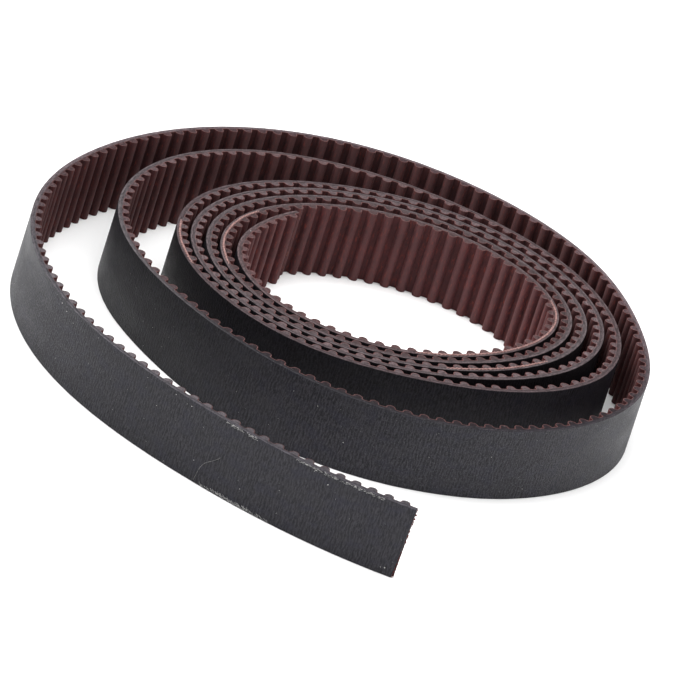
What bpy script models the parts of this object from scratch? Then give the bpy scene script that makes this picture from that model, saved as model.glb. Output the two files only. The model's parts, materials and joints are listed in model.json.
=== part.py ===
"""Open-ended toothed timing belt, stored as a loose coil standing on its cut edge.

The belt is a 2 mm pitch, 9 mm wide rubber belt. Its path runs from the free outer end,
clockwise as seen from above, through the outer run and the packed turns to the inner end.
Every length of belt holds three bonded plies: the rubber backing, the layer of glass
tension cords and the toothed ply with its nylon face. The outer run and the inner end
are divided into short lengths, which swing on hinges at the cord line, in the thin web
between two teeth, because that is where the belt bends.

Lengths are in millimetres until the meshes are made. Z is up, across the belt's width.
"""
import math

import bmesh
import bpy
import numpy as np

MM = 0.001

# Belt section
PITCH = 2.0
BELT_WIDTH = 9.0
WEB_THICKNESS = 0.63
TOOTH_HEIGHT = 0.75
TOOTH_ROOT_WIDTH = 1.24
TOOTH_TIP_WIDTH = 0.72
CORD_DIAMETER = 0.30
CORD_LINE_DEPTH = 0.376
PLY_GAP = 0.02
TIP_DEPTH = WEB_THICKNESS + TOOTH_HEIGHT
CORD_TOP = CORD_LINE_DEPTH - CORD_DIAMETER / 2
CORD_BOTTOM = CORD_LINE_DEPTH + CORD_DIAMETER / 2

# Path of the belt's back, as radii every 30 degrees, clockwise, a row for each turn
KNOT_STEP = 30.0
FIRST_KNOT_AZIMUTH = 285.0
TURN_RADII = (
    (57.9, 50.1, 46.8, 42.8, 38.15, 35.75, 34.45, 32.8, 31.75, 31.2, 33.3, 34.35),
    (34.15, 32.1, 31.1, 32.25, 32.05, 30.35, 27.75, 26.3, 27.1, 28.2, 28.3, 26.0),
    (24.25, 24.75, 25.2, 25.4, 24.45, 22.95, 22.6, 23.9, 25.3, 26.4, 25.3, 23.2),
    (22.55, 23.2, 23.7, 23.75, 22.45, 21.2, 21.1, 22.2, 23.5, 24.4, 22.9, 21.2),
    (21.05, 21.7, 22.15, 21.9, 20.6, 19.45, 19.4, 20.4, 21.8, 22.6, 21.1, 19.4),
    (19.55, 20.2, 20.6, 20.2, 18.7, 17.55, 17.4, 18.6, 20.1, 21.0, 19.3, 17.9),
    (18.05, 18.7, 19.0, 18.15, 16.5, 16.1, 16.4),
)
FREE_END_SWEEP = 4.0
TOTAL_SWEEP = 2304.0
PATH_STEP = 0.25

# Teeth start just behind the cut free end
FIRST_VALLEY = 0.3

# Flexing lengths
OUTER_LENGTHS = 10
TEETH_PER_OUTER_LENGTH = 9
INNER_LENGTHS = 3
TEETH_PER_INNER_LENGTH = 4
PACKED_TURNS = 6
CUT_GAP = 0.24

# Facets along the path
WIDE_TURN_RADIUS = 30.0
WIDE_FACET_SWEEP = 5.0
TIGHT_FACET_SWEEP = 10.0
SHORTEST_FACET = 0.5

BACKING_FINISH = ("backing_rubber", (0.045, 0.045, 0.05), 0.6)
CORD_FINISH = ("glass_cord", (0.62, 0.52, 0.42), 0.7)
TOOTH_FINISH = ("nylon_tooth_face", (0.09, 0.04, 0.04), 0.75)


class BeltPath:
    """The back of the belt as a smooth spiral, measured along the cord line."""

    def __init__(self):
        self.radii = np.array([radius for turn in TURN_RADII for radius in turn])
        self.bends = self.knot_bends()
        self.sweep = np.arange(FREE_END_SWEEP, TOTAL_SWEEP + PATH_STEP, PATH_STEP)
        back, inward = self.frame(self.sweep)
        cord_line = back + inward * CORD_LINE_DEPTH
        steps = np.hypot(*np.diff(cord_line, axis=0).T)
        self.travel = np.concatenate([[0.0], np.cumsum(steps)])
        self.length = self.travel[-1]

    def knot_bends(self):
        """Second differences of a natural cubic spline through the knot radii."""
        count = len(self.radii)
        matrix = np.eye(count)
        target = np.zeros(count)
        for knot in range(1, count - 1):
            matrix[knot, knot - 1:knot + 2] = (1.0, 4.0, 1.0)
            target[knot] = 6.0 * np.diff(self.radii[knot - 1:knot + 2], 2)[0]
        return np.linalg.solve(matrix, target)

    def radius(self, sweep):
        """Radius of the back, and its slope per radian of sweep."""
        place = sweep / KNOT_STEP
        knot = np.minimum(np.floor(place).astype(int), len(self.radii) - 2)
        right = place - knot
        left = 1.0 - right
        low = self.bends[knot] / 6.0
        high = self.bends[knot + 1] / 6.0
        value = self.radii[knot] * left + self.radii[knot + 1] * right
        value = value + (left ** 3 - left) * low + (right ** 3 - right) * high
        slope = self.radii[knot + 1] - self.radii[knot]
        slope = slope + (1.0 - 3.0 * left ** 2) * low + (3.0 * right ** 2 - 1.0) * high
        return value, slope / math.radians(KNOT_STEP)

    def frame(self, sweep):
        """Points on the back and unit vectors from the back towards the teeth."""
        radius, slope = self.radius(sweep)
        azimuth = np.radians(FIRST_KNOT_AZIMUTH - sweep)
        outward = np.stack([np.cos(azimuth), np.sin(azimuth)], axis=-1)
        clockwise = np.stack([np.sin(azimuth), -np.cos(azimuth)], axis=-1)
        along = outward * slope[:, None] + clockwise * radius[:, None]
        along /= np.linalg.norm(along, axis=1)[:, None]
        inward = np.stack([along[:, 1], -along[:, 0]], axis=-1)
        return outward * radius[:, None], inward

    def at(self, travel):
        """Back point and inward vector at distances along the cord line."""
        return self.frame(np.interp(np.atleast_1d(travel), self.travel, self.sweep))

    def facet_stops(self, start, end):
        """Distances of the facet edges between two cuts, at round azimuths."""
        stops = [start]
        sweep = 0.0
        while sweep < TOTAL_SWEEP:
            wide = self.radius(np.array([sweep]))[0][0] > WIDE_TURN_RADIUS
            sweep += WIDE_FACET_SWEEP if wide else TIGHT_FACET_SWEEP
            stop = float(np.interp(sweep, self.sweep, self.travel))
            if stops[-1] + SHORTEST_FACET < stop < end - SHORTEST_FACET:
                stops.append(stop)
        stops.append(end)
        return np.array(stops)


class Strip:
    """One stretch of belt between two cuts, with its facets."""

    def __init__(self, path, start, end):
        self.stops = path.facet_stops(start, end)
        self.back, self.inward = path.at(self.stops)

    def points(self, travel, depth):
        """Points at one depth below the back, on the facets."""
        layer = self.back + self.inward * depth
        x = np.interp(travel, self.stops, layer[:, 0])
        y = np.interp(travel, self.stops, layer[:, 1])
        return np.stack([x, y], axis=-1)

    def toothed_side(self):
        """Distances, points and depths along the tooth face, from cut to cut."""
        start, end = self.stops[0], self.stops[-1]
        travel = [start]
        depth = [WEB_THICKNESS]
        first = math.ceil((start - FIRST_VALLEY) / PITCH - 0.5)
        centre = FIRST_VALLEY + (first + 0.5) * PITCH
        while centre + TOOTH_ROOT_WIDTH / 2 < end:
            if centre - TOOTH_ROOT_WIDTH / 2 > start:
                half_root = TOOTH_ROOT_WIDTH / 2
                half_tip = TOOTH_TIP_WIDTH / 2
                travel += [centre - half_root, centre - half_tip]
                travel += [centre + half_tip, centre + half_root]
                depth += [WEB_THICKNESS, TIP_DEPTH, TIP_DEPTH, WEB_THICKNESS]
            centre += PITCH
        travel.append(end)
        depth.append(WEB_THICKNESS)
        travel = np.array(travel)
        depth = np.array(depth)
        land = self.points(travel, WEB_THICKNESS)
        tip = self.points(travel, TIP_DEPTH)
        share = ((depth - WEB_THICKNESS) / TOOTH_HEIGHT)[:, None]
        return travel, land + (tip - land) * share, depth


def cell_splits(outer_travel, inner_travel, inner_depth):
    """For each facet edge, the nearest point of the other side that is on a land."""
    on_land = np.flatnonzero(inner_depth < WEB_THICKNESS + TOOTH_HEIGHT / 2)
    splits = []
    for travel in outer_travel:
        nearest = np.argmin(np.abs(inner_travel[on_land] - travel))
        splits.append(int(on_land[nearest]))
    splits[0] = 0
    splits[-1] = len(inner_travel) - 1
    return splits


def ply_mesh(name, outer, inner, splits, origin):
    """Closed prism between two sides of a ply, as wide as the belt."""
    mesh = bpy.data.meshes.new(name)
    work = bmesh.new()
    levels = []
    for height in (0.0, BELT_WIDTH):
        rows = []
        for side in (outer, inner):
            row = []
            for x, y in side:
                place = ((x - origin[0]) * MM, (y - origin[1]) * MM, height * MM)
                row.append(work.verts.new(place))
            rows.append(row)
        levels.append(rows)
    for rows in levels:
        outer_row, inner_row = rows
        for cell in range(len(outer_row) - 1):
            far_side = inner_row[splits[cell]:splits[cell + 1] + 1]
            work.faces.new([outer_row[cell + 1], outer_row[cell]] + far_side)
    rims = []
    for outer_row, inner_row in levels:
        rims.append(outer_row + inner_row[::-1])
    count = len(rims[0])
    for index in range(count):
        following = (index + 1) % count
        corners = (rims[0][index], rims[0][following], rims[1][following], rims[1][index])
        work.faces.new(corners)
    bmesh.ops.recalc_face_normals(work, faces=work.faces)
    work.to_mesh(mesh)
    work.free()
    return mesh


def make_material(finish):
    name, colour, roughness = finish
    material = bpy.data.materials.new(name)
    material.use_nodes = True
    shader = material.node_tree.nodes["Principled BSDF"]
    shader.inputs["Base Color"].default_value = (*colour, 1.0)
    shader.inputs["Roughness"].default_value = roughness
    shader.inputs["Metallic"].default_value = 0.0
    return material


def add_node(name, mesh, finish, holder):
    node = bpy.data.objects.new(name, mesh)
    bpy.context.collection.objects.link(node)
    node.data.materials.append(make_material(finish))
    node.parent = holder
    return node


def add_plies(name, path, start, end, origin, holder):
    """The three bonded plies of one stretch of belt."""
    strip = Strip(path, start, end)
    facets = list(range(len(strip.stops)))
    backing_depths = (0.0, CORD_TOP - PLY_GAP)
    cord_depths = (CORD_TOP, CORD_BOTTOM)
    for ply, depths, finish in (("backing", backing_depths, BACKING_FINISH),
                                ("cords", cord_depths, CORD_FINISH)):
        outer = strip.points(strip.stops, depths[0])
        inner = strip.points(strip.stops, depths[1])
        mesh = ply_mesh(f"{name}_{ply}", outer, inner, facets, origin)
        add_node(f"{name}_{ply}", mesh, finish, holder)
    outer = strip.points(strip.stops, CORD_BOTTOM + PLY_GAP)
    travel, inner, depth = strip.toothed_side()
    splits = cell_splits(strip.stops, travel, depth)
    mesh = ply_mesh(f"{name}_teeth", outer, inner, splits, origin)
    add_node(f"{name}_teeth", mesh, TOOTH_FINISH, holder)


def coil_centre(path):
    """Middle of the coil's bounding box, which becomes the model's origin."""
    cuts = outer_cuts()
    cuts.append(packed_cuts(path, cuts[-1], inner_cuts(path)[0])[1])
    corners = [Strip(path, *trimmed(start, end)).back for start, end in zip(cuts, cuts[1:])]
    corners[0] = Strip(path, cuts[0], cuts[1]).back
    corners = np.concatenate(corners)
    return (corners.min(axis=0) + corners.max(axis=0)) / 2


def outer_cuts():
    """Distances of the free end and of the cuts between the outer lengths."""
    cuts = [0.0]
    for count in range(1, OUTER_LENGTHS + 1):
        cuts.append(FIRST_VALLEY + count * TEETH_PER_OUTER_LENGTH * PITCH)
    return cuts


def inner_cuts(path):
    """Distances of the cuts between the inner lengths, and of the inner end."""
    teeth = int((path.length - FIRST_VALLEY) / PITCH)
    cuts = []
    for count in range(INNER_LENGTHS, 0, -1):
        cuts.append(FIRST_VALLEY + (teeth - count * TEETH_PER_INNER_LENGTH) * PITCH)
    return cuts + [path.length]


def packed_cuts(path, start, end):
    """Distances of the cuts between the turns of the pack, each a full turn long."""
    sweep = float(np.interp(start, path.travel, path.sweep))
    cuts = [start]
    for turn in range(1, PACKED_TURNS):
        travel = float(np.interp(sweep + 360.0 * turn, path.sweep, path.travel))
        teeth = round((travel - FIRST_VALLEY) / PITCH)
        cuts.append(FIRST_VALLEY + teeth * PITCH)
    return cuts + [end]


def trimmed(start, end):
    """A stretch shortened by half of the gap at each cut."""
    return start + CUT_GAP / 2, end - CUT_GAP / 2


def hinge_point(path, travel, centre):
    """The hinge axis: on the cord line, at a cut."""
    back, inward = path.at(travel)
    return (back + inward * CORD_LINE_DEPTH)[0] - centre


def add_holder(name, place, parent_holder, parent_place):
    """Empty on a hinge axis, which carries the plies that swing on it."""
    holder = bpy.data.objects.new(name, None)
    bpy.context.collection.objects.link(holder)
    holder.parent = parent_holder
    offset = np.asarray(place) - np.asarray(parent_place)
    holder.location = (offset[0] * MM, offset[1] * MM, 0.0)
    return holder


def add_chain(label, path, stretches, hinges, centre):
    """Lengths of belt that hang on each other, from the pack outwards."""
    holder, place = None, np.zeros(2)
    for (number, start, end), travel in zip(stretches, hinges):
        axis_place = hinge_point(path, travel, centre)
        holder = add_holder(f"{label}_{number:02d}_axis", axis_place, holder, place)
        place = axis_place
        add_plies(f"{label}_{number:02d}", path, start, end, centre + place, holder)


def build():
    for item in list(bpy.data.objects):
        bpy.data.objects.remove(item, do_unlink=True)
    path = BeltPath()
    centre = coil_centre(path)
    outer = outer_cuts()
    inner = inner_cuts(path)
    packed = packed_cuts(path, outer[-1], inner[0])

    stretches = []
    for number in range(OUTER_LENGTHS, 0, -1):
        start, end = outer[number - 1], outer[number]
        near_start = start if number == 1 else start + CUT_GAP / 2
        stretches.append((number, near_start, end - CUT_GAP / 2))
    add_chain("outer_run", path, stretches, outer[:0:-1], centre)

    for turn in range(PACKED_TURNS):
        start, end = trimmed(packed[turn], packed[turn + 1])
        add_plies(f"packed_turn_{turn + 1}", path, start, end, centre, None)

    stretches = []
    for number in range(1, INNER_LENGTHS + 1):
        start, end = inner[number - 1], inner[number]
        near_end = end if number == INNER_LENGTHS else end - CUT_GAP / 2
        stretches.append((number, start + CUT_GAP / 2, near_end))
    add_chain("inner_end", path, stretches, inner[:-1], centre)


build()
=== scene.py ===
"""Looks of an open-ended timing belt, stored as a loose coil that stands on its cut edge.

The belt is built along the same spiral as its CAD solids, but smooth and with the true
round-tooth section. Each stretch of belt has four bonded plies: the ground rubber back,
the layer with the glass tension cords, the rubber teeth and their nylon facing. A stretch
that crosses a hinge is left fixed where it stands, on neither of the two bodies.

Lengths of the belt are in millimetres until a mesh is made, and the studio's in metres.
Z is up, across the belt's width.
"""
import json
import math

import bpy
import numpy as np
from mathutils import Matrix, Vector


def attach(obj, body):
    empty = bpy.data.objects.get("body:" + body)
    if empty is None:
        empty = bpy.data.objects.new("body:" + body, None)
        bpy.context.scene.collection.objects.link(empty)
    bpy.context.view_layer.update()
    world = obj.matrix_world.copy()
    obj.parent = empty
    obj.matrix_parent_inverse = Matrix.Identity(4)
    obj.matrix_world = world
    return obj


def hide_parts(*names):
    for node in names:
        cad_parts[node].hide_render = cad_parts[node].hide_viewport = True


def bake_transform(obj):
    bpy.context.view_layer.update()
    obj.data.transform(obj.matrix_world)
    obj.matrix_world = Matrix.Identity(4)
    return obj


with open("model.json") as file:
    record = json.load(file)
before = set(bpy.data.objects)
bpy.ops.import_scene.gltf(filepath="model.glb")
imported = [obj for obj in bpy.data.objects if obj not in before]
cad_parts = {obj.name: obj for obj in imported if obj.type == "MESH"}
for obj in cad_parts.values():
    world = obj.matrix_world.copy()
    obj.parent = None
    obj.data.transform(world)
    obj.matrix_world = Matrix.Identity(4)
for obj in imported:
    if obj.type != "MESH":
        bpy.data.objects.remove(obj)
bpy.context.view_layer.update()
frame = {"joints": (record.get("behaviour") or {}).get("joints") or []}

MM = 0.001

# Belt section, as in the CAD model
PITCH = 2.0
BELT_WIDTH = 9.0
WEB_THICKNESS = 0.63
TOOTH_HEIGHT = 0.75
CORD_DIAMETER = 0.30
CORD_LINE_DEPTH = 0.376
CORD_TOP = CORD_LINE_DEPTH - CORD_DIAMETER / 2
CORD_BOTTOM = CORD_LINE_DEPTH + CORD_DIAMETER / 2

# Round tooth: an arc at the tip, a short flank and a fillet at the root
TIP_RADIUS = 0.555
FILLET_RADIUS = 0.15
FLANK_LEAN = 0.01
FACING_THICKNESS = 0.09
TIP_ARC_STEPS = 6
FILLET_STEPS = 3
SHORTEST_STEP = 0.01

# Path of the belt's back, as radii every 30 degrees, clockwise, a row for each turn
KNOT_STEP = 30.0
FIRST_KNOT_AZIMUTH = 285.0
TURN_RADII = (
    (57.9, 50.1, 46.8, 42.8, 38.15, 35.75, 34.45, 32.8, 31.75, 31.2, 33.3, 34.35),
    (34.15, 32.1, 31.1, 32.25, 32.05, 30.35, 27.75, 26.3, 27.1, 28.2, 28.3, 26.0),
    (24.25, 24.75, 25.2, 25.4, 24.45, 22.95, 22.6, 23.9, 25.3, 26.4, 25.3, 23.2),
    (22.55, 23.2, 23.7, 23.75, 22.45, 21.2, 21.1, 22.2, 23.5, 24.4, 22.9, 21.2),
    (21.05, 21.7, 22.15, 21.9, 20.6, 19.45, 19.4, 20.4, 21.8, 22.6, 21.1, 19.4),
    (19.55, 20.2, 20.6, 20.2, 18.7, 17.55, 17.4, 18.6, 20.1, 21.0, 19.3, 17.9),
    (18.05, 18.7, 19.0, 18.15, 16.5, 16.1, 16.4),
)
FREE_END_SWEEP = 4.0
TOTAL_SWEEP = 2304.0
PATH_STEP = 0.25
FIRST_VALLEY = 0.3

# The front of the second turn leans: its foot stands a little out
LEAN = 1.0
LEAN_MIDDLE = 254.0
LEAN_REACH = 24.0

# Stretches of belt, as distances from the free end
OUTER_LENGTHS = 10
TEETH_PER_OUTER_LENGTH = 9
INNER_LENGTHS = 3
TEETH_PER_INNER_LENGTH = 4
OUTER_BLEND = 8.0
INNER_BLEND = 4.0
TURN_CUTS = (372.3, 528.3, 672.3, 804.3, 926.3)

# What the knife left: cut edges a little rounded and ragged, and a free end cut askew
EDGE_ROUNDING = 0.04
RAGGED_EDGE = 0.012
RAGGED_PERIODS = (0.83, 1.91, 3.7)
FREE_END_SKEW = 0.45

# Meshes: heights of the rows on each ply, the step along it and where its shading breaks
BACK_HEIGHTS = (0.0, EDGE_ROUNDING, 0.4, 3.0, 6.0, 8.6, BELT_WIDTH - EDGE_ROUNDING, BELT_WIDTH)
HIDDEN_HEIGHTS = (0.0, EDGE_ROUNDING, BELT_WIDTH - EDGE_ROUNDING, BELT_WIDTH)
FACING_HEIGHTS = (0.0, EDGE_ROUNDING, 3.0, 6.0, BELT_WIDTH - EDGE_ROUNDING, BELT_WIDTH)
BACK_STEP = 0.5
SHARP_ANGLE = math.radians(35.0)


# ---------------------------------------------------------------- path

class BeltPath:
    """The back of the belt as a smooth spiral, measured along the cord line."""

    def __init__(self):
        self.radii = np.array([radius for turn in TURN_RADII for radius in turn])
        self.bends = self.knot_bends()
        self.centre = np.zeros(2)
        self.sweep = np.arange(0.0, TOTAL_SWEEP + 2 * PATH_STEP, PATH_STEP)
        back, inward = self.frame(self.sweep)
        cord_line = back + inward * CORD_LINE_DEPTH
        steps = np.hypot(*np.diff(cord_line, axis=0).T)
        travel = np.concatenate([[0.0], np.cumsum(steps)])
        self.travel = travel - np.interp(FREE_END_SWEEP, self.sweep, travel)
        self.length = float(np.interp(TOTAL_SWEEP, self.sweep, self.travel))

    def knot_bends(self):
        """Second differences of a natural cubic spline through the knot radii."""
        count = len(self.radii)
        matrix = np.eye(count)
        target = np.zeros(count)
        for knot in range(1, count - 1):
            matrix[knot, knot - 1:knot + 2] = (1.0, 4.0, 1.0)
            target[knot] = 6.0 * np.diff(self.radii[knot - 1:knot + 2], 2)[0]
        return np.linalg.solve(matrix, target)

    def radius(self, sweep):
        """Radius of the back, and its slope per radian of sweep."""
        place = sweep / KNOT_STEP
        knot = np.minimum(np.floor(place).astype(int), len(self.radii) - 2)
        right = place - knot
        left = 1.0 - right
        low = self.bends[knot] / 6.0
        high = self.bends[knot + 1] / 6.0
        value = self.radii[knot] * left + self.radii[knot + 1] * right
        value = value + (left ** 3 - left) * low + (right ** 3 - right) * high
        slope = self.radii[knot + 1] - self.radii[knot]
        slope = slope + (1.0 - 3.0 * left ** 2) * low + (3.0 * right ** 2 - 1.0) * high
        return value, slope / math.radians(KNOT_STEP)

    def frame(self, sweep):
        """Points on the back and unit vectors from the back towards the teeth."""
        radius, slope = self.radius(sweep)
        azimuth = np.radians(FIRST_KNOT_AZIMUTH - sweep)
        outward = np.stack([np.cos(azimuth), np.sin(azimuth)], axis=-1)
        clockwise = np.stack([np.sin(azimuth), -np.cos(azimuth)], axis=-1)
        along = outward * slope[..., None] + clockwise * radius[..., None]
        along /= np.linalg.norm(along, axis=-1, keepdims=True)
        inward = np.stack([along[..., 1], -along[..., 0]], axis=-1)
        return outward * radius[..., None], inward

    def place(self, travel, depth, height=BELT_WIDTH):
        """Points in plan at distances along the belt, depths below its back and heights."""
        travel, depth = np.broadcast_arrays(travel, depth)
        back, inward = self.frame(np.interp(travel, self.travel, self.sweep))
        share = np.clip(1.0 - np.abs(travel - LEAN_MIDDLE) / LEAN_REACH, 0.0, 1.0)
        foot = LEAN * share ** 2 * (3.0 - 2.0 * share)
        leaned = depth - foot * (1.0 - height / BELT_WIDTH)
        return back + inward * leaned[..., None] + self.centre

    def point(self, travel, depth, height):
        """One point of the belt in the row frame, in metres."""
        x, y = self.place(np.array(travel), np.array(depth), height)
        return Vector((x, y, height)) * MM


def hinge_travel(number):
    """Distance from the free end of the hinge behind an outer length."""
    return FIRST_VALLEY + number * TEETH_PER_OUTER_LENGTH * PITCH


def lay_path():
    """The path in the row frame, set by where the CAD model has its first hinge."""
    path = BeltPath()
    joints = {joint["name"]: joint for joint in frame["joints"]}
    hinge = joints[f"outer_run_{OUTER_LENGTHS:02d}_flex"]["pos_m"]
    drawn = path.place(np.array(hinge_travel(OUTER_LENGTHS)), np.array(CORD_LINE_DEPTH))
    path.centre = np.array(hinge[:2]) / MM - drawn
    return path


# ---------------------------------------------------------------- section

def half_tooth():
    """Offsets from the tooth's middle and heights over the land, from tip to valley."""
    tip_centre = TOOTH_HEIGHT - TIP_RADIUS
    offsets = []
    heights = []
    for step in range(TIP_ARC_STEPS + 1):
        turn = math.pi / 2 * (1.0 - step / TIP_ARC_STEPS)
        offsets.append(TIP_RADIUS * math.cos(turn))
        heights.append(tip_centre + TIP_RADIUS * math.sin(turn))
    fillet_centre = TIP_RADIUS + FLANK_LEAN + FILLET_RADIUS
    for step in range(FILLET_STEPS + 1):
        turn = math.pi / 2 * step / FILLET_STEPS
        offsets.append(fillet_centre - FILLET_RADIUS * math.cos(turn))
        heights.append(FILLET_RADIUS * (1.0 - math.sin(turn)))
    offsets.append(PITCH / 2)
    heights.append(0.0)
    return np.array(offsets), np.array(heights)


def toothed_line(start, end):
    """(distances, depths) of the facing's face and of its under side, and arc lengths."""
    offsets, heights = half_tooth()
    one_offsets = np.concatenate([-offsets[::-1], offsets[1:-1]])
    one_heights = np.concatenate([heights[::-1], heights[1:-1]])
    first = math.floor((start - FIRST_VALLEY) / PITCH)
    last = math.ceil((end - FIRST_VALLEY) / PITCH)
    centres = FIRST_VALLEY + (np.arange(first, last) + 0.5) * PITCH
    travel = (centres[:, None] + one_offsets).ravel()
    height = np.tile(one_heights, len(centres))
    kept = (travel > start + SHORTEST_STEP) & (travel < end - SHORTEST_STEP)
    travel = np.concatenate([[start], travel[kept], [end]])
    height = np.concatenate([[0.0], height[kept], [0.0]])
    run = np.gradient(travel)
    rise = np.gradient(height)
    size = np.hypot(run, rise)
    under_travel = travel + FACING_THICKNESS * rise / size
    under_height = height - FACING_THICKNESS * run / size
    under_travel[0], under_travel[-1] = start, end
    arc = np.concatenate([[0.0], np.cumsum(np.hypot(np.diff(travel), np.diff(height)))])
    face = (travel, WEB_THICKNESS + height)
    under = (under_travel, WEB_THICKNESS + under_height)
    return face, under, arc


def waves(value, *periods):
    """A smooth irregular wave between -1 and 1: sines of several periods, out of step."""
    total = np.zeros_like(value)
    for number, period in enumerate(periods):
        total = total + np.sin(value * (2 * math.pi / period) + 1.7 * number)
    return total / len(periods)


def ragged(travel, depth):
    """How far the knife left a cut edge from flat, which varies along the belt."""
    return RAGGED_EDGE * waves(travel * 1.3 + depth * 2.0, *RAGGED_PERIODS)


# ---------------------------------------------------------------- meshes

def closed_strip(name, rings, place, cloth=None):
    """Mesh of a closed strip. rings, place and cloth are stations x ring points x 3.

    place keeps each point's distance along the belt, height and depth for the materials,
    and cloth does so with the distance measured over the teeth.
    """
    stations, around = rings.shape[:2]
    index = np.arange(stations * around).reshape(stations, around)
    this, following = index[:-1], index[1:]
    sides = np.stack([this, np.roll(this, -1, axis=1),
                      np.roll(following, -1, axis=1), following], axis=-1).reshape(-1, 4)
    half = around // 2
    caps = []
    for ring, turned in ((index[0], False), (index[-1], True)):
        for level in range(half - 1):
            face = [ring[level], ring[around - 1 - level],
                    ring[around - 2 - level], ring[level + 1]]
            caps.append(face[::-1] if turned else face)
    mesh = bpy.data.meshes.new(name)
    mesh.from_pydata(rings.reshape(-1, 3) * MM, [], np.concatenate([sides, caps]).tolist())
    add_attribute(mesh, "belt_place", place.reshape(-1, 3))
    if cloth is not None:
        add_attribute(mesh, "cloth_place", cloth.reshape(-1, 3))
    mesh.shade_smooth()
    mesh.set_sharp_from_angle(angle=SHARP_ANGLE)
    mesh.validate()
    return mesh


def add_attribute(mesh, name, values):
    """Keeps three numbers for each point of a mesh."""
    attribute = mesh.attributes.new(name, "FLOAT_VECTOR", "POINT")
    attribute.data.foreach_set("vector", np.ascontiguousarray(values, np.float32).ravel())


def ply_rings(path, outer, inner, heights, outer_inset, inner_inset, skew):
    """Rings of one ply, up its outer side and down its inner one.

    outer and inner are (distances, depths). An inset moves a side's depth at its two rims,
    and skew is how far along the belt the first ring's top stands from its foot.
    """
    columns = []
    places = []
    for (travel, depth), inset, levels in ((outer, outer_inset, heights),
                                           (inner, inner_inset, heights[::-1])):
        for height in levels:
            along = travel.copy()
            along[0] += skew * (height / BELT_WIDTH - 0.5)
            below = depth
            up = np.full_like(travel, height)
            if height in (0.0, BELT_WIDTH):
                below = depth + inset
                up = up + ragged(along, below)
            plan = path.place(along, below, up)
            columns.append(np.column_stack([plan, up]))
            places.append(np.column_stack([along, up, below]))
    return np.stack(columns, axis=1), np.stack(places, axis=1)


class Stretch:
    """A length of belt, with the body that it rides on, or the two bodies beside its hinge."""

    def __init__(self, label, start, end, bodies, nodes, hinge=None, reach=0.0):
        self.label = label
        self.start = start
        self.end = end
        self.bodies = bodies
        self.nodes = nodes
        self.hinge = hinge
        self.reach = reach

    def attach(self, path, piece):
        """Lets a piece ride on this stretch's body; a piece of a stretch across a hinge stays
        fixed where it stands.
        """
        if self.hinge is None:
            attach(piece, self.bodies[0])
            return
        start = path.point(self.hinge - self.reach, CORD_LINE_DEPTH, BELT_WIDTH / 2)
        end = path.point(self.hinge + self.reach, CORD_LINE_DEPTH, BELT_WIDTH / 2)
        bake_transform(piece)


def belt_stretches(path):
    """The belt from its free end to its inner end."""
    found = []
    first_edge = hinge_travel(1) - OUTER_BLEND - PITCH
    found.append(Stretch("free_end", 0.0, first_edge, ["outer_run_01"], "outer_run_01"))
    for number in range(1, OUTER_LENGTHS + 1):
        hinge = hinge_travel(number)
        behind = f"outer_run_{number + 1:02d}" if number < OUTER_LENGTHS else "packed_turns"
        front_edge = hinge - OUTER_BLEND - PITCH
        back_edge = front_edge + TEETH_PER_OUTER_LENGTH * PITCH
        bodies = [f"outer_run_{number:02d}", behind]
        found.append(Stretch(f"outer_run_{number:02d}", front_edge, back_edge, bodies,
                             f"outer_run_{number:02d}", hinge, OUTER_BLEND))
    teeth = int((path.length - FIRST_VALLEY) / PITCH)
    inner_hinges = []
    for count in range(INNER_LENGTHS, 0, -1):
        inner_hinges.append(FIRST_VALLEY + (teeth - count * TEETH_PER_INNER_LENGTH) * PITCH)
    cuts = [found[-1].end, *TURN_CUTS, inner_hinges[0] - INNER_BLEND]
    for turn, (start, end) in enumerate(zip(cuts, cuts[1:]), 1):
        found.append(Stretch(f"packed_turn_{turn}", start, end, ["packed_turns"],
                             f"packed_turn_{turn}"))
    ahead = "packed_turns"
    for number, hinge in enumerate(inner_hinges, 1):
        body = f"inner_end_{number:02d}"
        found.append(Stretch(body, hinge - INNER_BLEND, hinge + INNER_BLEND, [ahead, body],
                             body, hinge, INNER_BLEND))
        ahead = body
    found.append(Stretch("inner_tip", found[-1].end, path.length, [ahead], ahead))
    return found


def even_stops(start, end, step):
    """Even steps from start to end, as near to the wanted step as they come."""
    return np.linspace(start, end, max(2, round((end - start) / step) + 1))


def build_plies(path, stretch, looks):
    """The four plies of one stretch of belt."""
    skew = -FREE_END_SKEW if stretch.label == "free_end" else 0.0
    stops = even_stops(stretch.start, stretch.end, BACK_STEP)
    face, under, arc = toothed_line(stretch.start, stretch.end)
    web = np.clip(under[0], stretch.start, stretch.end)
    back = (stops, np.zeros_like(stops))
    cord_top = (stops, np.full_like(stops, CORD_TOP))
    cord_bottom = (stops, np.full_like(stops, CORD_BOTTOM))
    web_top = (web, np.full_like(web, CORD_BOTTOM))
    plies = (
        ("backing", back, cord_top, BACK_HEIGHTS, EDGE_ROUNDING, 0.0),
        ("cords", cord_top, cord_bottom, HIDDEN_HEIGHTS, 0.0, 0.0),
        ("teeth", web_top, under, HIDDEN_HEIGHTS, 0.0, 0.0),
        ("facing", under, face, FACING_HEIGHTS, 0.0, -EDGE_ROUNDING / 2),
    )
    for ply, outer, inner, heights, outer_inset, inner_inset in plies:
        rings, place = ply_rings(path, outer, inner, heights, outer_inset, inner_inset, skew)
        cloth = None
        if ply == "facing":
            cloth = place.copy()
            cloth[:, :, 0] = arc[:, None]
        name = f"{stretch.label}_{ply}_ply"
        piece = bpy.data.objects.new(name, closed_strip(name, rings, place, cloth))
        bpy.context.scene.collection.objects.link(piece)
        material, slot = looks[ply]
        piece.data.materials.append(material)
        stretch.attach(path, piece)
        node = "teeth" if ply == "facing" else ply
        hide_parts(f"{stretch.nodes}_{node}")


# ---------------------------------------------------------------- threads, cords and specks

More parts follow.
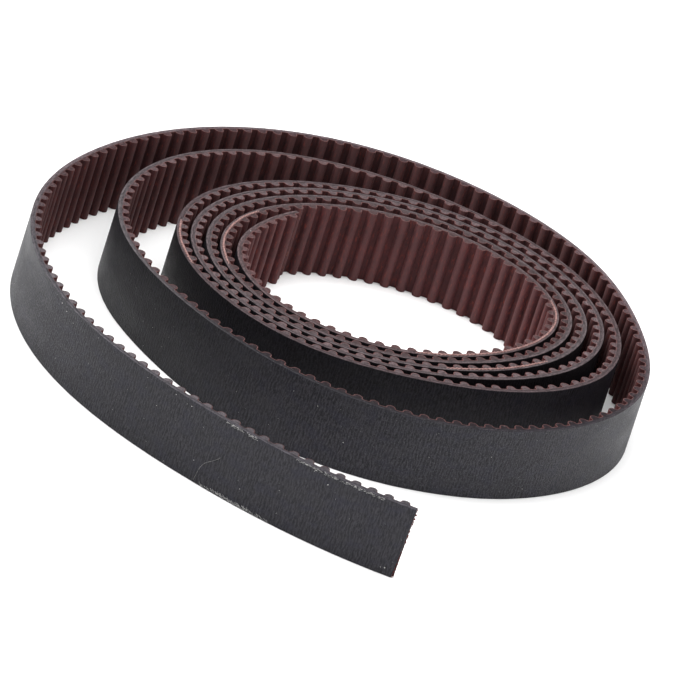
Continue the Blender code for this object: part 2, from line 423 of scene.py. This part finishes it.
# A tension cord is two plies, twisted together
CORD_PLIES = 2
CORD_TWIST_LENGTH = 1.1
CORD_SPACING = 0.55
BARE_PLY_RADIUS = 0.085
BARE_PLY_SWING = 0.065
BARE_PLY_LIFT = 0.05
BARE_CORD_WANDER = 0.03
BARE_CORD_PERIODS = (3.1, 7.3)

# Where cords lie bare in the top edge: from and to, as distances from the free end. The
# cord comes up out of the rubber over the fade length, and goes under again.
EXPOSED_CORDS = ((450.0, 461.0), (690.0, 705.0), (866.0, 883.0), (926.0, 957.0))
BARE_CORD_SUNK = 0.09
BARE_CORD_RISE = 0.10
BARE_CORD_FADE = 1.5
BARE_CORD_STEP = 0.16

# Runs of broken fibres on the two edges of the outer run, from and to
FRAYED_TOP = ((3.2, 11.0), (11.2, 14.6), (19.5, 24.0))
FRAYED_BOTTOM = ((15.5, 25.0), (17.5, 22.5))
FIBRES_PER_MM = 12
FIBRE_RADIUS = 0.014
FIBRE_LENGTHS = (0.10, 0.38)
FIBRE_SLOPES_TOP = (-0.5, 0.5)
FIBRE_SLOPES_BOTTOM = (0.4, 1.6)
FIBRE_WIDTHS = (0.6, 1.6)
FIBRE_NEAREST_RIM = 0.06
FIBRE_BAND = 0.26
FIBRE_STAND_OFF = 0.012
FIBRE_BULGE = 0.03
FIBRE_SEED = 11

# A hair that clings to the back
LINT_START = 25.8
LINT_RUN = 2.4
LINT_FOOT = 0.35
LINT_CLIMB = 4.3
LINT_SWAY = 0.35
LINT_CURL = 0.25
LINT_STAND_OFF = 0.03
LINT_BULGE = 0.10
LINT_RADIUS = 0.018
LINT_KNOT = 0.06
LINT_SEED = 2

# Pale specks: distance, height and size on the back, distance, depth and size on the edge
DUST_ON_BACK = ((26.5, 2.5, 0.055), (10.2, 7.7, 0.075), (1.2, 0.9, 0.085), (1.7, 0.8, 0.05),
                (20.0, 2.2, 0.05), (35.5, 8.3, 0.045), (50.7, 8.1, 0.06), (52.0, 8.4, 0.055),
                (48.9, 7.6, 0.05), (31.2, 8.5, 0.06), (28.8, 8.3, 0.055), (15.4, 4.4, 0.045),
                (226.2, 5.5, 0.06), (233.5, 4.5, 0.05), (243.2, 3.5, 0.055), (247.2, 6.5, 0.05))
BACK_DUST_SCALE = 1.25
SPECKS_ON_EDGE = ((992.5, 0.35, 0.08), (591.5, 0.40, 0.06), (590.2, 0.75, 0.06))
SCATTERED_DUST = 14
FEWEST_SPECKS = 3
SCATTERED_SIZES = (0.015, 0.045)
SPECK_UNEVENNESS = 0.25
SPECK_REACHES = (0.7, 1.2)
DUST_SEED = 5

# Cord ends and torn nylon that stand out of an end cut across
CORD_END_REACHES = (0.05, 0.16)
CORD_END_TAPER = (1.0, 1.0, 0.95, 0.55)
CORD_END_ROOT = 0.25
CORD_END_SHIFT = 0.04
TORN_THREADS = 90
TORN_THREAD_RADIUS = 0.028
TORN_THREAD_REACHES = (0.08, 0.26)
TORN_THREAD_ROOT = 0.1
TORN_THREAD_CLIMB = 0.15
TORN_THREADS_TOP = 0.10
CUT_END_SEED = 7


class Threads:
    """Thin threads and small specks on one stretch of belt, gathered in one mesh."""

    def __init__(self, path):
        self.path = path
        self.points = []
        self.faces = []

    def tube(self, travel, depth, height, radius, sides):
        """A closed thread through places given in the belt's own measures."""
        travel, depth, height = np.broadcast_arrays(travel, depth, height)
        line = np.column_stack([self.path.place(travel, depth, height), height])
        along = np.gradient(line, axis=0)
        along /= np.linalg.norm(along, axis=1, keepdims=True)
        helper = np.where(np.abs(along[:, 2:]) > 0.8, (1.0, 0.3, 0.0), (0.0, 0.0, 1.0))
        side = np.cross(along, helper)
        side /= np.linalg.norm(side, axis=1, keepdims=True)
        lift = np.cross(side, along)
        turn = np.arange(sides) * 2 * math.pi / sides
        ring = side[:, None] * np.cos(turn)[:, None] + lift[:, None] * np.sin(turn)[:, None]
        width = np.broadcast_to(radius, travel.shape)[:, None, None]
        first = len(self.points)
        self.points.extend((line[:, None] + ring * width).reshape(-1, 3))
        index = first + np.arange(len(line) * sides).reshape(-1, sides)
        this, following = index[:-1], index[1:]
        walls = np.stack([this, following, np.roll(following, -1, axis=1),
                          np.roll(this, -1, axis=1)], axis=-1).reshape(-1, 4)
        self.faces.extend(walls.tolist())
        self.faces.append(index[0].tolist())
        self.faces.append(index[-1][::-1].tolist())

    def speck(self, travel, depth, height, size, draw):
        """A closed crumb with eight facets, a little uneven."""
        middle = np.array([*self.path.place(np.array(travel), np.array(depth), height), height])
        first = len(self.points)
        for axis in range(3):
            for sign in (1.0, -1.0):
                corner = draw.uniform(-SPECK_UNEVENNESS, SPECK_UNEVENNESS, 3)
                corner[axis] = sign * draw.uniform(*SPECK_REACHES)
                self.points.append(middle + corner * size)
        for x in (0, 1):
            for y in (2, 3):
                for z in (4, 5):
                    face = [first + x, first + y, first + z]
                    self.faces.append(face if (x + y + z) % 2 == 0 else face[::-1])

    def make(self, name, stretch, material, slot=None):
        """Makes the piece, once its threads are laid."""
        mesh = bpy.data.meshes.new(name)
        mesh.from_pydata(np.array(self.points) * MM, [], self.faces)
        mesh.shade_smooth()
        mesh.validate()
        mesh.materials.append(material)
        piece = bpy.data.objects.new(name, mesh)
        bpy.context.scene.collection.objects.link(piece)
        stretch.attach(self.path, piece)


def add_exposed_cords(path, stretches, looks):
    """Where the knife ran along a cord, its twisted plies lie bare in the top edge."""
    for start, end in EXPOSED_CORDS:
        stretch = stretch_at(stretches, (start + end) / 2)
        threads = Threads(path)
        stops = even_stops(start, end, BARE_CORD_STEP)
        for ply in range(CORD_PLIES):
            turn = stops * (2 * math.pi / CORD_TWIST_LENGTH) + ply * 2 * math.pi / CORD_PLIES
            wander = BARE_CORD_WANDER * waves(stops, *BARE_CORD_PERIODS)
            fade = np.minimum(1.0, np.minimum(stops - start, end - stops) / BARE_CORD_FADE)
            depth = CORD_LINE_DEPTH + BARE_PLY_SWING * np.cos(turn) + wander
            height = BELT_WIDTH - BARE_CORD_SUNK + BARE_CORD_RISE * fade
            threads.tube(stops, depth, height + BARE_PLY_LIFT * np.sin(turn), BARE_PLY_RADIUS, 6)
        name = f"exposed_cord_{int(start)}_{stretch.label}"
        threads.make(name, stretch, looks["bare_cord"], "tension_cords")


def stretch_at(stretches, travel):
    """The stretch of belt at a distance from the free end."""
    return next(stretch for stretch in stretches if travel <= stretch.end)


def parts_of(stretches, start, end):
    """A run of belt cut where its stretches meet."""
    for stretch in stretches:
        low = max(start, stretch.start)
        high = min(end, stretch.end)
        if low < high:
            yield stretch, low, high


def add_frayed_edges(path, stretches, looks):
    """Short broken glass fibres along the cut edges of the outer run."""
    draw = np.random.RandomState(FIBRE_SEED)
    for runs, rim, out in ((FRAYED_TOP, BELT_WIDTH, 1.0), (FRAYED_BOTTOM, 0.0, -1.0)):
        gathered = {}
        for start, end in runs:
            for stretch, low, high in parts_of(stretches, start, end):
                threads = gathered.setdefault(stretch.label, (stretch, Threads(path)))[1]
                for _ in range(int((high - low) * FIBRES_PER_MM)):
                    lay_fibre(threads, draw, draw.uniform(low, high), rim, out, low, high)
        side = "top" if out > 0 else "bottom"
        for label, (stretch, threads) in gathered.items():
            threads.make(f"frayed_{side}_{label}", stretch, looks["glass"], "tension_cords")


def lay_fibre(threads, draw, travel, rim, out, low, high):
    """One broken fibre that clings to the back, just inside the cut edge."""
    length = draw.uniform(*FIBRE_LENGTHS)
    slope = draw.uniform(*(FIBRE_SLOPES_TOP if out > 0 else FIBRE_SLOPES_BOTTOM))
    stops = np.linspace(0.0, 1.0, 4)
    # A fibre held back at its stretch's end still goes a little forward at each step
    along = np.clip(travel + length * stops, low, high - 0.01) + 0.002 * stops
    depth = -FIBRE_STAND_OFF - FIBRE_BULGE * np.sin(stops * math.pi)
    inset = FIBRE_NEAREST_RIM + FIBRE_BAND * draw.uniform(0.0, 1.0) ** 1.5
    height = rim - out * (inset + slope * length * stops * 0.6)
    threads.tube(along, depth, height, FIBRE_RADIUS * draw.uniform(*FIBRE_WIDTHS), 4)


def add_lint(path, stretches, looks):
    """A curled hair that clings to the back of the outer run, with a knot at its end."""
    stops = np.linspace(0.0, 1.0, 26)
    travel = LINT_START - LINT_RUN * stops + LINT_SWAY * np.sin(stops * math.pi)
    height = LINT_FOOT + LINT_CLIMB * stops ** 0.75 + LINT_CURL * np.sin(stops * 5.5)
    depth = -LINT_STAND_OFF - LINT_BULGE * np.sin(stops * math.pi) ** 2
    threads = Threads(path)
    threads.tube(travel, depth, height, LINT_RADIUS, 5)
    draw = np.random.RandomState(LINT_SEED)
    threads.speck(float(travel[-1]), -0.04, float(height[-1]), LINT_KNOT, draw)
    threads.make("lint_hair", stretch_at(stretches, LINT_START - LINT_RUN), looks["lint"])


def add_dust(path, stretches, looks):
    """Pale specks on the back, and a few on the cut edges."""
    draw = np.random.RandomState(DUST_SEED)
    for stretch in stretches:
        threads = Threads(path)
        for travel, height, size in DUST_ON_BACK:
            if stretch.start < travel <= stretch.end:
                threads.speck(travel, -0.01, height, BACK_DUST_SCALE * size, draw)
        for travel, depth, size in SPECKS_ON_EDGE:
            if stretch.start < travel <= stretch.end:
                threads.speck(travel, depth, BELT_WIDTH + 0.01, size, draw)
        if stretch.start < TURN_CUTS[0]:
            share = (stretch.end - stretch.start) / (TEETH_PER_OUTER_LENGTH * PITCH)
            for _ in range(max(FEWEST_SPECKS, round(SCATTERED_DUST * share))):
                travel = draw.uniform(stretch.start + 0.1, stretch.end - 0.1)
                height = draw.uniform(0.3, BELT_WIDTH - 0.3)
                threads.speck(travel, 0.0, height, draw.uniform(*SCATTERED_SIZES), draw)
        if threads.points:
            threads.make(f"dust_{stretch.label}", stretch, looks["dust"])


def add_cut_end(path, stretch, at, away, skew, cord_look, nylon_look, draw):
    """Cord ends and torn nylon on the belt's end at a distance; away is 1 or -1, outwards."""
    cords = Threads(path)
    nylon = Threads(path)
    count = int(BELT_WIDTH / CORD_SPACING)
    for number in range(count):
        height = (number + 0.5) * BELT_WIDTH / count
        edge = at + skew * (height / BELT_WIDTH - 0.5)
        reach = draw.uniform(*CORD_END_REACHES)
        stops = np.linspace(-CORD_END_ROOT, reach, len(CORD_END_TAPER)) * away
        radius = CORD_DIAMETER / 2 * np.array(CORD_END_TAPER)
        height += draw.uniform(-CORD_END_SHIFT, CORD_END_SHIFT)
        cords.tube(edge + stops, CORD_LINE_DEPTH, height, radius, 8)
    for _ in range(TORN_THREADS):
        height = draw.uniform(0.1, BELT_WIDTH - 0.1)
        edge = at + skew * (height / BELT_WIDTH - 0.5)
        low = draw.uniform(TORN_THREADS_TOP, WEB_THICKNESS)
        reach = draw.uniform(*TORN_THREAD_REACHES)
        stops = np.linspace(-TORN_THREAD_ROOT, reach, 4)
        climb = draw.uniform(-TORN_THREAD_CLIMB, TORN_THREAD_CLIMB)
        climb = climb * (stops + TORN_THREAD_ROOT) / reach
        nylon.tube(edge + stops * away, low + climb, height + climb, TORN_THREAD_RADIUS, 4)
    cords.make(f"{stretch.label}_cord_ends", stretch, cord_look, "tension_cords")
    nylon.make(f"{stretch.label}_torn_threads", stretch, nylon_look, "tooth_ply")


# ---------------------------------------------------------------- materials

class Look:
    """A material's nodes, added one at a time."""

    def __init__(self, name, constants):
        self.material = bpy.data.materials.new(name)
        self.material.use_nodes = True
        self.tree = self.material.node_tree
        self.shader = self.tree.nodes["Principled BSDF"]
        for socket, value in constants.items():
            self.shader.inputs[socket].default_value = value

    def node(self, kind, values, **settings):
        """A new node with its settings made and its inputs fed."""
        made = self.tree.nodes.new("ShaderNode" + kind)
        for key, value in settings.items():
            setattr(made, key, value)
        for socket, value in values.items():
            self.feed(made.inputs[socket], value)
        return made

    def feed(self, socket, value):
        """Links a socket to another one, or sets its value."""
        if isinstance(value, bpy.types.NodeSocket):
            self.tree.links.new(value, socket)
        else:
            socket.default_value = value

    def attribute(self, name):
        return self.node("Attribute", {}, attribute_name=name).outputs["Vector"]

    def object_place(self):
        """Place in the object's own space, in millimetres."""
        place = self.node("TexCoord", {}).outputs["Object"]
        return self.stretched(place, 1 / MM, 1 / MM, 1 / MM)

    def split(self, vector):
        """The three parts of a vector."""
        return self.node("SeparateXYZ", {0: vector}).outputs

    def math(self, operation, first, second=0.0):
        return self.node("Math", {0: first, 1: second}, operation=operation).outputs[0]

    def stretched(self, vector, *factors):
        return self.node("VectorMath", {0: vector, 1: factors}, operation="MULTIPLY").outputs[0]

    def noise(self, vector, waves_per_mm, detail=3.0, roughness=0.55, distortion=0.0):
        """Noise from 0 to 1, with its own fineness along, up and into the belt."""
        values = {"Vector": self.stretched(vector, *waves_per_mm), "Scale": 1.0,
                  "Detail": detail, "Roughness": roughness, "Distortion": distortion}
        return self.node("TexNoise", values).outputs["Fac"]

    def span(self, value, low, high, to_low=0.0, to_high=1.0):
        """A smooth step of a value from low to high, held at both ends."""
        values = {0: value, 1: low, 2: high, 3: to_low, 4: to_high}
        return self.node("MapRange", values, interpolation_type="SMOOTHSTEP").outputs[0]

    def mix(self, share, first, second, blend_type="MIX"):
        values = {0: share, 6: colour(first), 7: colour(second)}
        made = self.node("Mix", values, data_type="RGBA", blend_type=blend_type)
        return made.outputs[2]

    def scaled(self, tone, factor):
        """A colour made lighter or darker by a number that may vary."""
        grey = self.node("CombineXYZ", {0: factor, 1: factor, 2: factor}).outputs[0]
        return self.mix(1.0, tone, grey, "MULTIPLY")

    def along_belt(self, travel, stops):
        """A colour that changes along the belt: stops are (distance, colour)."""
        share = self.math("DIVIDE", travel, BELT_LENGTH)
        made = self.node("ValToRGB", {0: share})
        ramp = made.color_ramp
        ramp.interpolation = "EASE"
        for place, tone in stops[1:-1]:
            ramp.elements.new(place / BELT_LENGTH).color = colour(tone)
        ramp.elements[0].color = colour(stops[0][1])
        ramp.elements[len(stops) - 1].color = colour(stops[-1][1])
        return made.outputs[0]

    def bump(self, height, strength, distance_mm):
        values = {"Height": height, "Strength": strength, "Distance": distance_mm * MM}
        self.feed(self.shader.inputs["Normal"], self.node("Bump", values).outputs[0])

    def set(self, socket, value):
        self.feed(self.shader.inputs[socket], value)


def colour(value):
    """A colour as four numbers. A single number is a grey, and a socket stays a socket."""
    if isinstance(value, bpy.types.NodeSocket):
        return value
    if isinstance(value, float):
        value = (value, value, value)
    return (*value, 1.0)


# The tables along the belt run from the free end to this distance
BELT_LENGTH = 1003.0

# Marks of the grinding across the belt's back
RIPPLE_PITCH = 0.40
RIPPLE_DRIFT = 15.0
RIPPLE_DEPTH = 0.07

# How strongly the marks and the pale speckle show, from the free end on
GRAIN_CONTRAST = ((0.0, 0.62), (30.0, 0.85), (60.0, 1.0), (1003.0, 0.9))
SPECKLE_SHARE = ((0.0, 0.10), (35.0, 0.20), (60.0, 0.75), (120.0, 0.80),
                 (205.0, 0.90), (232.0, 0.45), (262.0, 0.10), (1003.0, 0.20))

# The ground back is darker on a part of its second turn and in the pack; on the second
# turn, from about 240 to 330 mm, this is painted shade where it stands behind the outer run
BACK_TONES_AND_SHADE = ((0.0, 1.05), (40.0, 0.81), (90.0, (0.81, 0.81, 0.82)), (210.0, 1.05),
              (240.0, (0.95, 0.95, 0.97)), (275.0, (0.33, 0.33, 0.34)),
              (300.0, (0.57, 0.57, 0.60)), (330.0, 1.0), (390.0, (0.80, 0.80, 0.82)),
              (455.0, (0.22, 0.21, 0.23)), (1003.0, (0.30, 0.29, 0.31)))

# Tones of the cut edges: greyer on the loose outer run, with painted shade that darkens
# them from 215 to 255 mm, and pinker in the pack, where more of the reddish nylon was
# smeared over the cut
WEB_TONES_AND_SHADE = ((0.0, (0.044, 0.040, 0.047)), (60.0, (0.056, 0.052, 0.058)),
             (95.0, (0.096, 0.072, 0.078)), (170.0, (0.110, 0.082, 0.089)),
             (215.0, (0.020, 0.017, 0.021)), (255.0, (0.016, 0.015, 0.018)),
             (280.0, (0.066, 0.058, 0.062)), (330.0, (0.058, 0.040, 0.042)),
             (430.0, (0.052, 0.037, 0.040)), (560.0, (0.062, 0.047, 0.050)),
             (720.0, (0.064, 0.050, 0.053)), (1003.0, (0.070, 0.048, 0.050)))
TOOTH_TONES_AND_SHADE = ((0.0, (0.046, 0.041, 0.046)), (50.0, (0.082, 0.070, 0.076)),
               (90.0, (0.044, 0.024, 0.026)), (135.0, (0.040, 0.022, 0.025)),
               (165.0, (0.076, 0.046, 0.050)), (215.0, (0.012, 0.008, 0.010)),
               (255.0, (0.016, 0.011, 0.013)), (285.0, (0.066, 0.043, 0.046)),
               (330.0, (0.078, 0.050, 0.052)), (430.0, (0.064, 0.047, 0.050)),
               (560.0, (0.086, 0.062, 0.065)), (700.0, (0.068, 0.049, 0.051)),
               (820.0, (0.040, 0.026, 0.027)), (1003.0, (0.068, 0.038, 0.039)))
CUT_DUST = (0.100, 0.088, 0.094)

# Threads of the nylon's weave
WEAVE_PITCH = 0.17


def cut_edge(look, height):
    """1 on the two cut edges of the belt, 0 between them."""
    from_middle = look.math("ABSOLUTE", look.math("SUBTRACT", height, BELT_WIDTH / 2))
    near = BELT_WIDTH / 2 - EDGE_ROUNDING
    return look.span(from_middle, near, near + 0.6 * EDGE_ROUNDING)


def cut_tone(look, place, travel, tones, gain):
    """Colour of sliced rubber, smeared along the belt, pitted and dusty, with the painted shade
    of its tone table; and its pits.
    """
    smear = look.noise(place, (0.9, 1.0, 5.0), 4.0)
    pits = look.noise(place, (4.0, 1.0, 6.0), roughness=0.65)
    grain = look.math("ADD", look.math("MULTIPLY", smear, 0.5), look.math("MULTIPLY", pits, 0.5))
    factor = look.span(grain, 0.37, 0.64, 0.42 * gain, 1.65 * gain)
    tone = look.scaled(look.along_belt(travel, tones), factor)
    chalk = look.noise(place, (2.2, 1.0, 3.0))
    tone = look.mix(look.span(chalk, 0.56, 0.72, 0.0, 0.45), tone, CUT_DUST)
    return tone, pits


def ground_back():
    """Ground black rubber with a wormy grain across the belt, and its cut edges."""
    look = Look("ground_rubber_back", {"Specular IOR Level": 0.2})
    place = look.attribute("belt_place")
    travel, height, _ = look.split(place)
    grain = look.noise(place, (6.5, 1.6, 1.0), 2.0, 0.5, 0.6)
    drift = look.noise(place, (1.5, 0.7, 1.0), 2.0)
    phase = look.math("ADD", look.math("MULTIPLY", travel, 2 * math.pi / RIPPLE_PITCH),
                      look.math("MULTIPLY", drift, RIPPLE_DRIFT))
    ripple = look.math("MULTIPLY", look.math("SINE", phase), RIPPLE_DEPTH)
    fine = look.noise(place, (13.0, 5.0, 1.0), 2.0)
    cloud = look.noise(place, (0.16, 0.3, 1.0))
    tint = look.noise(place, (0.4, 0.7, 1.0), 2.0)
    relief = look.math("ADD", look.math("MULTIPLY", grain, 0.6), look.math("MULTIPLY", fine, 0.4))
    relief = look.math("SUBTRACT", look.math("ADD", relief, ripple), 0.5)
    relief = look.math("MULTIPLY", relief, look.along_belt(travel, GRAIN_CONTRAST))
    relief = look.math("ADD", relief, 0.5)
    rubber = look.mix(look.span(relief, 0.38, 0.63), (0.0060, 0.0057, 0.0084),
                      (0.0330, 0.0312, 0.0382))
    rubber = look.mix(look.span(tint, 0.45, 0.7, 0.0, 0.4), rubber, (0.017, 0.017, 0.030))
    rubber = look.mix(look.span(cloud, 0.45, 0.75, 0.0, 0.4), rubber, (0.034, 0.033, 0.036))
    # Painted shade: the back darkens where the second turn stands behind the outer run
    rubber = look.mix(1.0, rubber, look.along_belt(travel, BACK_TONES_AND_SHADE), "MULTIPLY")
    speckle = look.noise(place, (8.0, 4.5, 1.0), 2.0, 0.6)
    share = look.math("MULTIPLY", look.span(speckle, 0.53, 0.68),
                      look.along_belt(travel, SPECKLE_SHARE))
    rubber = look.mix(share, rubber, (0.088, 0.086, 0.094))
    edge_tone, _ = cut_tone(look, place, travel, WEB_TONES_AND_SHADE, 1.12)
    on_edge = cut_edge(look, height)
    look.set("Base Color", look.mix(on_edge, rubber, edge_tone))
    satin = look.span(cloud, 0.3, 0.75, 0.46, 0.6)
    look.set("Roughness", look.math("MAXIMUM", satin, look.math("MULTIPLY", on_edge, 0.95)))
    look.bump(relief, 1.0, 0.10)
    return look.material


def cut_rubber(name, tones, gain):
    """Rubber that shows only on the belt's cut edges."""
    look = Look(name, {"Specular IOR Level": 0.12})
    place = look.attribute("belt_place")
    travel, _, _ = look.split(place)
    tone, pits = cut_tone(look, place, travel, tones, gain)
    look.set("Base Color", tone)
    look.set("Roughness", look.span(pits, 0.2, 0.8, 0.8, 0.95))
    look.bump(pits, 0.6, 0.04)
    return look.material


def nylon_facing():
    """Wine-brown nylon fabric, woven fine, with worn crests that also carry a painted
    highlight, and painted shade in the valleys.
    """
    look = Look("nylon_facing", {"Specular IOR Level": 0.16, "Sheen Weight": 0.06,
                                 "Sheen Roughness": 0.5, "Sheen Tint": (0.9, 0.6, 0.58, 1.0)})
    place = look.attribute("belt_place")
    cloth = look.attribute("cloth_place")
    travel, height, depth = look.split(place)
    arc, up, _ = look.split(cloth)
    turns = 2 * math.pi / WEAVE_PITCH
    warp = look.math("SINE", look.math("MULTIPLY", arc, turns))
    diagonal = look.math("ADD", look.math("MULTIPLY", arc, turns / 2),
                         look.math("MULTIPLY", up, turns))
    twill = look.math("SINE", diagonal)
    weave = look.math("ADD", look.math("MULTIPLY", warp, 0.4), twill)
    weave = look.span(weave, -1.3, 1.3)
    fuzz = look.noise(cloth, (2.0, 6.0, 2.0), 4.0)
    streak = look.noise(cloth, (5.5, 1.3, 1.0), 4.0, 0.65, 0.4)
    patch = look.noise(place, (0.25, 0.35, 0.2), 2.0)
    tone = look.mix(weave, (0.039, 0.0115, 0.0125), (0.068, 0.0215, 0.023))
    tone = look.mix(look.span(fuzz, 0.35, 0.7, 0.0, 0.5), tone, (0.058, 0.024, 0.026))
    tone = look.mix(look.span(patch, 0.4, 0.7, 0.0, 0.4), tone, (0.080, 0.020, 0.021))
    tone = look.mix(look.span(streak, 0.54, 0.68, 0.0, 0.75), tone, (0.150, 0.030, 0.022))
    tone = look.mix(look.span(streak, 0.32, 0.46, 0.75, 0.0), tone, (0.026, 0.013, 0.015))
    tone = look.scaled(tone, look.span(travel, 760.0, 930.0, 0.92, 1.42))
    # Worn crests, lighter also with a painted highlight on the tooth tips
    crest_wear_and_highlight = look.span(depth, WEB_THICKNESS + 0.50, WEB_THICKNESS + TOOTH_HEIGHT, 0.0, 0.42)
    tone = look.mix(crest_wear_and_highlight, tone, (0.115, 0.058, 0.058))
    # Painted shade: the facing darkens towards the valleys between the teeth
    valley_shade = look.span(depth, WEB_THICKNESS + 0.05, WEB_THICKNESS + 0.30, 0.75, 1.0)
    tone = look.scaled(tone, valley_shade)
    rim = look.mix(look.span(fuzz, 0.3, 0.7), (0.062, 0.024, 0.024), (0.130, 0.060, 0.057))
    rim = look.scaled(rim, look.span(travel, 60.0, 120.0, 0.55, 1.0))
    look.set("Base Color", look.mix(cut_edge(look, height), tone, rim))
    look.set("Roughness", look.span(fuzz, 0.2, 0.8, 0.65, 0.9))
    nap = look.math("ADD", look.math("MULTIPLY", fuzz, 0.6), streak)
    look.bump(look.math("ADD", look.math("MULTIPLY", weave, 0.6), nap), 0.6, 0.05)
    return look.material


def thread_look(name, dark, light, waves_per_mm, roughness, specular=0.2):
    """A thread or speck whose colour varies from place to place."""
    look = Look(name, {"Specular IOR Level": specular})
    place = look.object_place()
    fine = look.noise(place, (waves_per_mm,) * 3)
    look.set("Base Color", look.mix(look.span(fine, 0.35, 0.65), dark, light))
    look.set("Roughness", look.span(fine, 0.2, 0.8, roughness, roughness + 0.2))
    look.bump(fine, 0.3, 0.01)
    return look.material


def ply_looks():
    """The material and the slot of each ply."""
    return {
        "backing": (ground_back(), "backing_rubber"),
        "cords": (cut_rubber("cord_layer_edge", WEB_TONES_AND_SHADE, 0.8), "tension_cords"),
        "teeth": (cut_rubber("tooth_rubber_edge", TOOTH_TONES_AND_SHADE, 1.0), "tooth_ply"),
        "facing": (nylon_facing(), "tooth_ply"),
    }


def thread_looks():
    """Materials of the threads and specks. The two cut ends differ in colour, and the inner
    end's are also paler with painted light on that lit cut.
    """
    return {
        "bare_cord": thread_look("bare_tension_cord", (0.15, 0.075, 0.068),
                                 (0.35, 0.210, 0.195), 6.0, 0.5),
        "glass": thread_look("frayed_glass", 0.16, (0.52, 0.51, 0.50), 5.0, 0.35, 0.5),
        "lint": thread_look("lint", 0.12, (0.26, 0.25, 0.25), 3.0, 0.6),
        "dust": thread_look("dust", 0.17, (0.62, 0.61, 0.60), 3.0, 0.6),
        "red_ends": thread_look("cut_cord_ends", (0.020, 0.006, 0.007),
                                (0.070, 0.014, 0.014), 4.0, 0.6),
        "red_threads": thread_look("torn_nylon", (0.09, 0.012, 0.012),
                                   (0.24, 0.045, 0.040), 4.0, 0.7),
        # The inner end's cord ends and torn nylon: oranger, and paler with painted light
        "orange_ends_painted_light": thread_look("inner_cord_ends", (0.10, 0.040, 0.030),
                                   (0.30, 0.130, 0.090), 4.0, 0.6),
        "orange_threads_painted_light": thread_look("inner_torn_nylon", (0.14, 0.045, 0.030),
                                      (0.36, 0.150, 0.100), 4.0, 0.7),
    }


# ---------------------------------------------------------------- studio

# The view is that of a long lens, which looks down at the coil and is rolled to one side
TARGET = Vector((2.94, 8.32, 0.0)) * MM
DISTANCE = 1.2364
ELEVATION = math.radians(25.511)
ROLL = math.radians(17.819)
LENS = 547.1
SENSOR = 36.0
FARTHEST_SEEN = 20.0

FLOOR_HALF_SIZE = 4.0
FLOOR_DROP = 0.02 * MM
FLOOR_GREY = 0.93

# Soft boxes that face the coil: place and size in metres, and power in watts
LEFT_BOX = ((-0.9, 0.0, 0.7), (0.7, 0.9), 7.5)
TOP_BOX = ((0.0, 0.1, 1.15), (1.4, 1.4), 26.0)
WORLD_STRENGTH = 0.45


def add_camera():
    data = bpy.data.cameras.new("camera")
    data.lens = LENS
    data.sensor_width = SENSOR
    data.clip_end = FARTHEST_SEEN
    camera = bpy.data.objects.new("camera", data)
    bpy.context.scene.collection.objects.link(camera)
    forward = Vector((0.0, math.cos(ELEVATION), -math.sin(ELEVATION)))
    level = Vector((1.0, 0.0, 0.0))
    up = level.cross(forward)
    image_right = level * math.cos(ROLL) + up * math.sin(ROLL)
    image_up = up * math.cos(ROLL) - level * math.sin(ROLL)
    turn = Matrix((image_right, image_up, -forward)).transposed()
    camera.matrix_world = Matrix.Translation(TARGET - forward * DISTANCE) @ turn.to_4x4()
    bpy.context.scene.camera = camera


def add_floor():
    size = FLOOR_HALF_SIZE
    mesh = bpy.data.meshes.new("floor")
    corners = [(-size, -size, 0.0), (size, -size, 0.0), (size, size, 0.0), (-size, size, 0.0)]
    mesh.from_pydata(corners, [], [(0, 1, 2, 3)])
    floor = bpy.data.objects.new("floor", mesh)
    floor.location.z = -FLOOR_DROP
    bpy.context.scene.collection.objects.link(floor)
    look = Look("floor", {"Base Color": colour(FLOOR_GREY), "Roughness": 0.9,
                          "Specular IOR Level": 0.1})
    mesh.materials.append(look.material)


def add_softbox(name, place, size, power):
    data = bpy.data.lights.new(name, "AREA")
    data.shape = "RECTANGLE"
    data.size, data.size_y = size
    data.energy = power
    light = bpy.data.objects.new(name, data)
    bpy.context.scene.collection.objects.link(light)
    light.location = place
    light.rotation_mode = "QUATERNION"
    light.rotation_quaternion = (-Vector(place)).to_track_quat("-Z", "Y")
    light.visible_camera = False


def add_studio():
    scene = bpy.context.scene
    scene.view_settings.view_transform = "Standard"
    world = bpy.data.worlds.new("studio")
    world.use_nodes = True
    sky = world.node_tree.nodes["Background"].inputs
    sky["Color"].default_value = colour(1.0)
    sky["Strength"].default_value = WORLD_STRENGTH
    scene.world = world
    add_softbox("left_box", *LEFT_BOX)
    add_softbox("top_box", *TOP_BOX)
    add_floor()
    add_camera()


# ---------------------------------------------------------------- making

def build():
    """The belt, its threads and specks, and the studio."""
    path = lay_path()
    plies = ply_looks()
    looks = thread_looks()
    stretches = belt_stretches(path)
    for stretch in stretches:
        build_plies(path, stretch, plies)
    add_exposed_cords(path, stretches, looks)
    add_frayed_edges(path, stretches, looks)
    add_lint(path, stretches, looks)
    add_dust(path, stretches, looks)
    draw = np.random.RandomState(CUT_END_SEED)
    add_cut_end(path, stretches[0], 0.0, -1.0, -FREE_END_SKEW,
                looks["red_ends"], looks["red_threads"], draw)
    add_cut_end(path, stretches[-1], path.length, 1.0, 0.0,
                looks["orange_ends_painted_light"], looks["orange_threads_painted_light"], draw)
    add_studio()


build()
